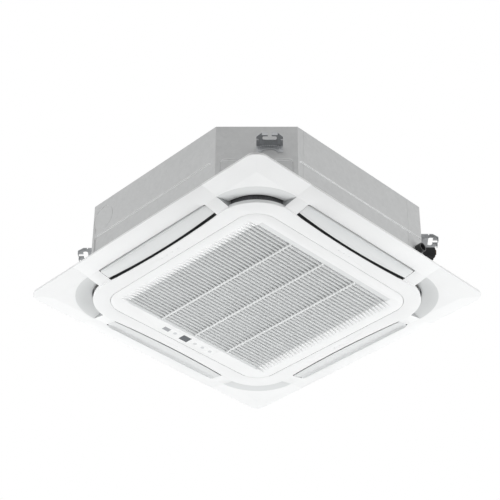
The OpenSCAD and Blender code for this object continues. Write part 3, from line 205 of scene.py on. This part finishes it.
def woven_net(name, colour, shade, thread_mm):
    """Woven filter net of crossing threads, drawn coarser than its real pitch so that it shows."""
    material, tree, place = new_material(name)
    across = add_node(tree, "ShaderNodeTexWave", {"bands_direction": "X"},
                      {"Vector": (place, "Object"), "Scale": BAND / (thread_mm * MM)})
    along = add_node(tree, "ShaderNodeTexWave", {"bands_direction": "Y"},
                     {"Vector": (place, "Object"), "Scale": BAND / (thread_mm * MM)})
    weave = add_node(tree, "ShaderNodeMath", {"operation": "MAXIMUM"},
                     {0: (across, "Fac"), 1: (along, "Fac")})
    tone = add_node(tree, "ShaderNodeValToRGB", None, {"Fac": (weave, "Value")})
    set_steps(tone.color_ramp, [(0.35, linear(shade)), (0.8, linear(colour))])
    bump = add_node(tree, "ShaderNodeBump", None,
                    {"Height": (weave, "Value"), "Strength": 0.3, "Distance": THREAD_HEIGHT})
    shader = add_node(tree, "ShaderNodeBsdfPrincipled", None,
                      {"Base Color": (tone, "Color"), "Roughness": 0.85,
                       "Normal": (bump, "Normal")})
    finish_material(tree, shader)
    return material


def aluminium_fins(name, colour, gap, fin_mm):
    """Stacked aluminium fins: bright edges over painted shade in the gaps, drawn along both runs of
    the coil.
    """
    material, tree, place = new_material(name)
    across = add_node(tree, "ShaderNodeTexWave", {"bands_direction": "X", "wave_profile": "SAW"},
                      {"Vector": (place, "Object"), "Scale": BAND / (fin_mm * MM)})
    along = add_node(tree, "ShaderNodeTexWave", {"bands_direction": "Y", "wave_profile": "SAW"},
                     {"Vector": (place, "Object"), "Scale": BAND / (fin_mm * MM)})
    edge = add_node(tree, "ShaderNodeMath", {"operation": "MULTIPLY"},
                    {0: (across, "Fac"), 1: (along, "Fac")})
    tone = add_node(tree, "ShaderNodeValToRGB", None, {"Fac": (edge, "Value")})
    set_steps(tone.color_ramp, [(0.1, linear(gap)), (0.5, linear(colour))])
    shader = add_node(tree, "ShaderNodeBsdfPrincipled", None,
                      {"Base Color": (tone, "Color"), "Roughness": 0.35, "Metallic": 1.0})
    finish_material(tree, shader)
    return material


# One finish for each material slot of the record
FINISH = {
    "white_panel": moulded_plastic("panel_abs", "#F3F4F4", "#F0F1F1", 0.42, 1.2, 0.05),
    "white_ring": moulded_plastic("frame_abs", "#F1F2F2", "#EEEFEF", 0.40, 1.2, 0.05),
    "white_grille": moulded_plastic("grille_hips", "#F3F4F4", "#F0F1F1", 0.45, 1.2, 0.06),
    "grey_flap": moulded_plastic("flap_abs_grey", "#E1E3E3", "#DEE0E0", 0.38, 1.0, 0.05),
    "dark_foam": foam("cell_foam_charcoal", "#77787A", "#58595B", 3.5, 0.95),
    "zinc_screws": plated_metal("zinc_plated_screws", "#C9CACC", "#B9BABC", 0.32, 2.0),
    "zinc_steel": plated_metal("zinc_plated_steel", "#BFC1C3", "#AEB0B2", 0.35, 6.0),
    "bush_plastic": moulded_plastic("acetal_bush", "#E4E4DF", "#DFDFDA", 0.35, 0.8, 0.04),
    "filter_plastic": moulded_plastic("filter_pp", "#DADCDE", "#D5D7D9", 0.5, 1.0, 0.05),
    "filter_cloth": woven_net("filter_net_pp", "#C6C8C9", "#BBBDBE", 2.2),
    "dark_screen": moulded_plastic("smoked_acrylic", "#5B5F63", "#565A5E", 0.12, 2.0, 0.01),
    "grey_lens": moulded_plastic("receiver_acrylic", "#A2A4A7", "#9DA0A3", 0.15, 2.0, 0.01),
    "pale_lens": moulded_plastic("lamp_acrylic", "#DADBDC", "#D4D6D8", 0.2, 2.0, 0.01),
    "button_plastic": moulded_plastic("button_abs", "#D4D6D8", "#CED0D2", 0.35, 0.8, 0.03),
    "circuit_board": moulded_plastic("glass_epoxy_green", "#2F6B4A", "#285E41", 0.4, 1.5, 0.05),
    "galvanised_sheet": galvanised_sheet("galvanised_steel", "#CBCCCC", "#C7C8C8", 0.5, 9.0),
    "white_foam": foam("polystyrene_beads", "#F2F2EF", "#DEDEDA", 3.5, 0.9),
    "fan_plastic": moulded_plastic("fan_glass_filled_as", "#DDE0E2", "#D6D9DB", 0.45, 1.2, 0.05),
    "motor_paint": moulded_plastic("motor_powder_coat", "#55585B", "#4E5154", 0.5, 0.8, 0.15),
    "black_rubber": moulded_plastic("epdm_rubber", "#2B2C2D", "#262728", 0.85, 1.5, 0.2),
    "coil_aluminium": aluminium_fins("fin_aluminium", "#D5D8DA", "#6E7173", 3.0),
    "coil_copper": plated_metal("hairpin_copper", "#C98A63", "#B4764F", 0.3, 8.0),
    "pipe_copper": plated_metal("tarnished_copper", "#6B5547", "#54443A", 0.45, 10.0),
    "black_plastic": moulded_plastic("pvc_black", "#343536", "#2E2F30", 0.4, 1.0, 0.05),
    "pump_plastic": moulded_plastic("pump_pp", "#D3D5D5", "#CCCECE", 0.45, 1.0, 0.05),
    "dark_zinc": plated_metal("dark_passivated_zinc", "#B9BBBD", "#ABADAF", 0.45, 5.0),
}
# Finishes, painted shade and painted highlights that cover only some faces of a piece
DISH_SHADE = moulded_plastic("dish_abs_painted_shade", "#DDDFDF", "#DADCDC", 0.5, 1.2, 0.05)
SLAT_SHADE = moulded_plastic("slat_hips_painted_shade", "#CFD1D1", "#CBCDCD", 0.5, 1.0, 0.05)
STEP_HIGHLIGHT = galvanised_sheet("zinc_painted_highlight", "#F5F6F6", "#F1F2F2", 0.34, 9.0)
LEFT_STEP_HIGHLIGHT = galvanised_sheet("zinc_painted_dim_highlight", "#E7E8E8", "#E3E4E4", 0.4, 9.0)
RIB_SHADE = moulded_plastic("rib_hips_painted_shade", "#E0E2E2", "#DCDEDE", 0.5, 1.0, 0.05)
SHADOW_GREY = moulded_plastic("outlet_end_painted_shade", "#B4B6B7", "#AFB1B2", 0.6, 1.2, 0.05)
GROOVE_SHADE = moulded_plastic("groove_painted_shade", "#8B8D8F", "#838587", 0.9, 0.8, 0.1)
GAP_SHADE = moulded_plastic("gap_shade_black", "#3C3D3E", "#323334", 0.95, 0.6, 0.3)
MARK_GREY = moulded_plastic("mark_ink_grey", "#D3D5D6", "#CFD1D2", 0.5, 0.8, 0.03)
for node, obj in nodes.items():
    obj.data.materials.clear()
    obj.data.materials.append(FINISH[slot_of[node]])


# Shaping

def take_up(obj):
    """Selects one object alone and makes it the active one."""
    for other in bpy.context.selected_objects:
        other.select_set(False)
    obj.select_set(True)
    bpy.context.view_layer.objects.active = obj


def merged_copy(node):
    """A copy of a node to shape further: its loose triangles merged and flat faces joined up."""
    piece = bpy.data.objects.new(node + "_soft", nodes[node].data.copy())
    bpy.context.scene.collection.objects.link(piece)
    take_up(piece)
    bpy.ops.object.mode_set(mode="EDIT")
    bpy.ops.mesh.select_all(action="SELECT")
    bpy.ops.mesh.remove_doubles(threshold=0.01 * MM)
    bpy.ops.mesh.dissolve_limited(angle_limit=math.radians(0.5))
    bpy.ops.object.mode_set(mode="OBJECT")
    return piece


def pick(piece, kind, wanted):
    """Enters edit mode with only those edges or points selected for which wanted holds."""
    take_up(piece)
    bpy.ops.object.mode_set(mode="EDIT")
    bpy.ops.mesh.select_mode(type=kind)
    bpy.ops.mesh.select_all(action="DESELECT")
    mesh = bmesh.from_edit_mesh(piece.data)
    for item in mesh.edges if kind == "EDGE" else mesh.verts:
        if wanted(item):
            item.select_set(True)
    bmesh.update_edit_mesh(piece.data)


def round_over(piece, wanted, radius_mm, steps):
    """Rounds the edges for which wanted(edge) holds."""
    pick(piece, "EDGE", wanted)
    bpy.ops.mesh.bevel(offset=radius_mm * MM, segments=steps, affect="EDGES")
    bpy.ops.object.mode_set(mode="OBJECT")


def push(piece, wanted, way):
    """Moves the points for which wanted(vert) holds."""
    pick(piece, "VERT", wanted)
    bpy.ops.transform.translate(value=way)
    bpy.ops.object.mode_set(mode="OBJECT")


# Edges that turn by more than this many degrees are broken
SHARP = 32


def break_edges(piece, radius_mm):
    """No moulding or sheet has knife edges: a small radius on all that are sharp."""
    bevel = piece.modifiers.new("edge", "BEVEL")
    bevel.width = radius_mm * MM
    bevel.segments = 2
    bevel.limit_method = "ANGLE"
    bevel.angle_limit = math.radians(SHARP)
    take_up(piece)
    bpy.ops.object.modifier_apply(modifier=bevel.name)


def stand_in(piece, node, smooth_angle=34):
    """Puts a finished piece in the node's place, with its body, slot and finish."""
    take_up(piece)
    bpy.ops.object.shade_smooth_by_angle(angle=math.radians(smooth_angle))
    piece.data.materials.clear()
    piece.data.materials.append(FINISH[slot_of[node]])
    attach(piece, body_of[node])
    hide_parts(node)


def paint(piece, finish, wanted):
    """Gives the faces for which wanted(face) holds a material of their own: a finish, painted shade
    or a painted highlight.
    """
    piece.data.materials.append(finish)
    index = len(piece.data.materials) - 1
    for face in piece.data.polygons:
        if wanted(face):
            face.material_index = index


# The unit is square, so a point's place is told by its distances from the two centre lines

def far_side(point):
    return max(abs(point.x), abs(point.y))


def near_side(point):
    return min(abs(point.x), abs(point.y))


def from_arc(point, centre):
    """Distance from the centre of a corner's arc, which lies at centre from both centre lines."""
    return math.hypot(abs(point.x) - centre, abs(point.y) - centre)


def upright(face):
    return abs(face.normal.z) < 0.5


def facing_down(face):
    return face.normal.z < -0.5


# Panel, brackets, pipes and small mouldings: broken edges, each with its radius in mm
SOFT_EDGES = {
    "panel_frame": 0.6, "display_window": 0.4, "display_button": 0.5, "filter_frame": 0.6,
    "bracket_front_left": 0.5, "bracket_front_right": 0.5,
    "bracket_back_left": 0.5, "bracket_back_right": 0.5,
    "gas_pipe": 0.3, "liquid_pipe": 0.3, "drain_socket": 1.0,
    "pipe_sleeves": 1.5, "cable_gland": 1.0, "piping_plate": 0.4, "top_plate": 0.5,
}
soft = {}
for node, radius in SOFT_EDGES.items():
    soft[node] = merged_copy(node)
    break_edges(soft[node], radius)
    stand_in(soft[node], node)

# Panel: the inner walls of the outlets are painted near black, painted shade for the dark slot of
# each outlet
OUTLET = 420 * MM
SKIN_TOP = 14 * MM


def in_outlet_wall(face):
    at_wall = abs(far_side(face.center) - OUTLET) < 1 * MM
    return upright(face) and at_wall and face.center.z > SKIN_TOP


paint(soft["panel_frame"], GAP_SHADE, in_outlet_wall)

# Corner covers: a crisp rim round each dish, which is painted a darker, slightly rougher grey as
# painted shade
COVER_EDGE_MM = 0.6
COVER_SMOOTH = 9
ARC_START = 268 * MM
DISH_RADIUS = 153.6 * MM


def in_dish(face):
    points = face.id_data.vertices
    reach = max(from_arc(points[i].co, ARC_START) for i in face.vertices)
    return facing_down(face) and reach < DISH_RADIUS


for node in ("corner_cover_front_left", "corner_cover_front_right",
             "corner_cover_back_left", "corner_cover_back_right"):
    piece = merged_copy(node)
    break_edges(piece, COVER_EDGE_MM)
    stand_in(piece, node, COVER_SMOOTH)
    paint(piece, DISH_SHADE, in_dish)

# Flaps: rounded at the outer corners and set back a little, so that a dark gap shows all round
FLAP_OUT = 418.8 * MM
FLAP_END = 219.2 * MM
FLAP_CORNER_MM = 9
FLAP_SET_BACK = 1.4 * MM
FLAP_EDGE_MM = 0.8
# Two places closer than this are the same
SAME = 0.1 * MM


def soften_flap(node, turn):
    """Shapes one flap, which lies at turn from the x axis."""
    out = Vector((math.cos(turn), math.sin(turn), 0))
    across = Vector((-out.y, out.x, 0))

    def on_outer_corner(edge):
        return all(abs(v.co.dot(out) - FLAP_OUT) < SAME
                   and abs(abs(v.co.dot(across)) - FLAP_END) < SAME for v in edge.verts)

    def on_outer_side(vert):
        return vert.co.dot(out) > FLAP_OUT - SAME

    piece = merged_copy(node)
    round_over(piece, on_outer_corner, FLAP_CORNER_MM, 8)
    push(piece, on_outer_side, out * -FLAP_SET_BACK)
    break_edges(piece, FLAP_EDGE_MM)
    stand_in(piece, node)


for quarter, node in enumerate(("flap_right", "flap_back", "flap_left", "flap_front")):
    soften_flap(node, quarter * math.pi / 2)

# Intake grille: the downward faces of the recessed slats are painted greyer than their frame as
# painted shade, the ribs less so
GRILLE_EDGE_MM = 0.5
SLAT_X = 272 * MM
SLAT_Y = 273 * MM
SLAT_FACE = (3.5 * MM, 5 * MM)
RIB_X = 132.5 * MM
RIB_HALF = 2.5 * MM
RIB_FACE = (0.5 * MM, 3.5 * MM)
RIB_CLEAR = 3 * MM


def from_rib(face):
    """Distance of a face's middle from the nearest of the three ribs."""
    return min(abs(face.center.x - i * RIB_X) for i in (-1, 0, 1))


def on_slat(face):
    return (facing_down(face) and SLAT_FACE[0] < face.center.z < SLAT_FACE[1]
            and from_rib(face) > RIB_CLEAR
            and abs(face.center.x) < SLAT_X and abs(face.center.y) < SLAT_Y)


def on_rib(face):
    return (facing_down(face) and RIB_FACE[0] < face.center.z < RIB_FACE[1]
            and from_rib(face) < RIB_HALF and abs(face.center.y) < SLAT_Y)


grille = merged_copy("intake_grille")
break_edges(grille, GRILLE_EDGE_MM)
stand_in(grille, "intake_grille")
paint(grille, SLAT_SHADE, on_slat)
paint(grille, RIB_SHADE, on_rib)

# Inner frame: the outer edge of the ring is rounded over before the rest is broken
RING_ROUND_MM = 2.3
RING_EDGE_MM = 0.4
RING_CORNER = 250.5 * MM
RING_RADIUS = 118 * MM
RING_SIDE = 360.5 * MM
FLUSH = 0.05 * MM


def on_ring_edge(edge):
    for vert in edge.verts:
        side = far_side(vert.co) > RING_SIDE
        turn = near_side(vert.co) > RING_CORNER and from_arc(vert.co, RING_CORNER) > RING_RADIUS
        if abs(vert.co.z) > FLUSH or not (side or turn):
            return False
    return True


ring = merged_copy("inner_frame")
round_over(ring, on_ring_edge, RING_ROUND_MM, 5)
break_edges(ring, RING_EDGE_MM)
stand_in(ring, "inner_frame")

# The ring's walls beside the flaps are painted near black too, as painted shade in the gaps; its
# walls at the ends of the corner outlets are painted matt grey and the walls of the groove round
# the grille mid grey, both painted shade; the small marks are inked
FLAP_WALL_X = 362 * MM
FLAP_WALL_Y = 220 * MM
FLAP_WALL_Z = (3 * MM, 27 * MM)
OUTLET_END_X = 360 * MM
GROOVE = 324 * MM
GROOVE_LIP = 1.2 * MM
MARK_X = 330 * MM
MARK_DEPTH = 0.5 * MM


def beside_flap(face):
    return (upright(face) and FLAP_WALL_Z[0] < face.center.z < FLAP_WALL_Z[1]
            and far_side(face.center) > FLAP_WALL_X and near_side(face.center) < FLAP_WALL_Y)


def at_outlet_end(face):
    return (abs(face.normal.z) < 0.3 and abs(near_side(face.center) - ARC_START) < 0.5 * MM
            and far_side(face.center) > OUTLET_END_X)


def beside_grille(face):
    return (upright(face) and face.center.z > GROOVE_LIP
            and abs(far_side(face.center) - GROOVE) < 1.5 * MM)


def in_mark(face):
    return abs(face.center.z - MARK_DEPTH) < SAME and far_side(face.center) > MARK_X


paint(ring, GAP_SHADE, beside_flap)
paint(ring, SHADOW_GREY, at_outlet_end)
paint(ring, GROOVE_SHADE, beside_grille)
paint(ring, MARK_GREY, in_mark)

# Casing sheets: the step round each pressed panel is drawn, so it runs out in soft curves;
# its downward faces are painted light as a painted highlight, dimmer on the left wall
BODY_HALF = 420 * MM
CHAMFER_FAR = 680 * MM / math.sqrt(2)
PRESS_DEPTH = 3 * MM
PRESS_ROUND_MM = 1.3
PRESS_FOOT = 60 * MM
HIGHLIGHT_FROM = 100 * MM
LEFT_WALL = -416 * MM
# Each wall's outward normal and its distance from the middle
WALLS = []
for degrees in range(0, 360, 45):
    normal = Vector((math.cos(math.radians(degrees)), math.sin(math.radians(degrees)), 0))
    WALLS.append((normal, BODY_HALF if degrees % 90 == 0 else CHAMFER_FAR))


def pressed(vert, normal, far):
    """0 on the wall's outer face, 1 on the pressed face, else None."""
    depth = far - vert.co.dot(normal)
    if abs(depth) < SAME:
        return 0
    if abs(depth - PRESS_DEPTH) < SAME:
        return 1
    return None


def on_step(edge):
    """Edges at the top or the foot of a step between a wall's outer and its pressed face."""
    for normal, far in WALLS:
        if [pressed(v, normal, far) for v in edge.verts] not in ([0, 0], [1, 1]):
            continue
        for face in edge.link_faces:
            both = {pressed(v, normal, far) for v in face.verts} == {0, 1}
            across = abs(face.normal.dot(normal)) < 0.2
            if both and across and face.calc_center_median().z > PRESS_FOOT:
                return True
    return False


def is_step(face):
    """Faces that look down between a wall's outer and its pressed face."""
    for normal, far in WALLS:
        if FLUSH < far - face.center.dot(normal) < PRESS_DEPTH - FLUSH:
            return face.normal.z < -0.2 and face.center.z > HIGHLIGHT_FROM
    return False


def is_left_step(face):
    return is_step(face) and face.center.x < LEFT_WALL


for node in ("casing_left", "casing_right", "casing_front", "casing_back"):
    piece = merged_copy(node)
    round_over(piece, on_step, PRESS_ROUND_MM, 3)
    stand_in(piece, node)
    paint(piece, STEP_HIGHLIGHT, is_step)
    paint(piece, LEFT_STEP_HIGHLIGHT, is_left_step)


# The room: white all round, soft light from both sides and from below

def seen_rays(tree):
    """A node that is 1 for what is seen straight, through glass or in metal, else 0."""
    rays = add_node(tree, "ShaderNodeLightPath")
    seen = add_node(tree, "ShaderNodeMath", {"operation": "MAXIMUM"},
                    {0: (rays, "Is Camera Ray"), 1: (rays, "Is Transmission Ray")})
    return add_node(tree, "ShaderNodeMath", {"operation": "MAXIMUM"},
                    {0: (seen, "Value"), 1: (rays, "Is Glossy Ray")})


# Strength of the light that the white room itself sheds
ROOM_LIGHT = 0.4
WHITE = (1, 1, 1, 1)

world = bpy.data.worlds.new("studio")
bpy.context.scene.world = world
world.use_nodes = True
tree = world.node_tree
tree.nodes.clear()
glow = add_node(tree, "ShaderNodeMapRange", None,
                {"Value": (seen_rays(tree), "Value"), "To Min": ROOM_LIGHT, "To Max": 1.0})
sky = add_node(tree, "ShaderNodeBackground", None, {"Color": WHITE, "Strength": (glow, "Result")})
add_node(tree, "ShaderNodeOutputWorld", None, {"Surface": (sky, "Background")})


def softbox(name, place, aim, size, watts):
    """A square lamp that lights the unit but doesn't mirror in its metal."""
    light = bpy.data.lights.new(name, "AREA")
    light.shape = "RECTANGLE"
    light.size = size
    light.size_y = size
    light.energy = watts
    lamp = bpy.data.objects.new(name, light)
    lamp.visible_glossy = False
    lamp.location = place
    lamp.rotation_euler = (Vector(aim) - Vector(place)).to_track_quat("-Z", "Y").to_euler()
    bpy.context.scene.collection.objects.link(lamp)


softbox("from_left", (-2.3, 2.8, -1.0), (0, 0, 0.1), 2.2, 88)
softbox("from_right", (2.8, -2.3, -1.0), (0, 0, 0.1), 2.2, 90)
softbox("from_below", (0.6, 0.6, -2.8), (0, 0, 0), 2.6, 35.5)

# Pale floor far below: as pale as the room, also in metal and glass, and it keeps a faint shadow
FLOOR_SIZE = 90
FLOOR_Z = -7.0
FLOOR_GLOW = 0.92
FLOOR_MOTTLE = 1 / 3

bpy.ops.mesh.primitive_plane_add(size=FLOOR_SIZE, location=(0, 0, FLOOR_Z))
floor = bpy.context.object
floor.name = "floor"
floor_paint, tree, place = new_material("floor_paint")
share = add_node(tree, "ShaderNodeMath", {"operation": "MULTIPLY"},
                 {0: (seen_rays(tree), "Value"), 1: FLOOR_GLOW})
mottle = add_node(tree, "ShaderNodeTexNoise", None,
                  {"Vector": (place, "Object"), "Scale": 1 / FLOOR_MOTTLE})
paint_tone = add_node(tree, "ShaderNodeValToRGB", None, {"Fac": (mottle, "Fac")})
set_steps(paint_tone.color_ramp, [(0.3, linear("#F4F4F4")), (0.7, linear("#F6F6F6"))])
matt = add_node(tree, "ShaderNodeBsdfPrincipled", None,
                {"Base Color": (paint_tone, "Color"), "Roughness": 0.9})
pale = add_node(tree, "ShaderNodeEmission", None, {"Color": WHITE, "Strength": 1.0})
blend = add_node(tree, "ShaderNodeMixShader", None,
                 {0: (share, "Value"), 1: (matt, "BSDF"), 2: (pale, "Emission")})
add_node(tree, "ShaderNodeOutputMaterial", None, {"Surface": (blend, 0)})
floor.data.materials.append(floor_paint)

bpy.context.scene.view_settings.view_transform = "Standard"
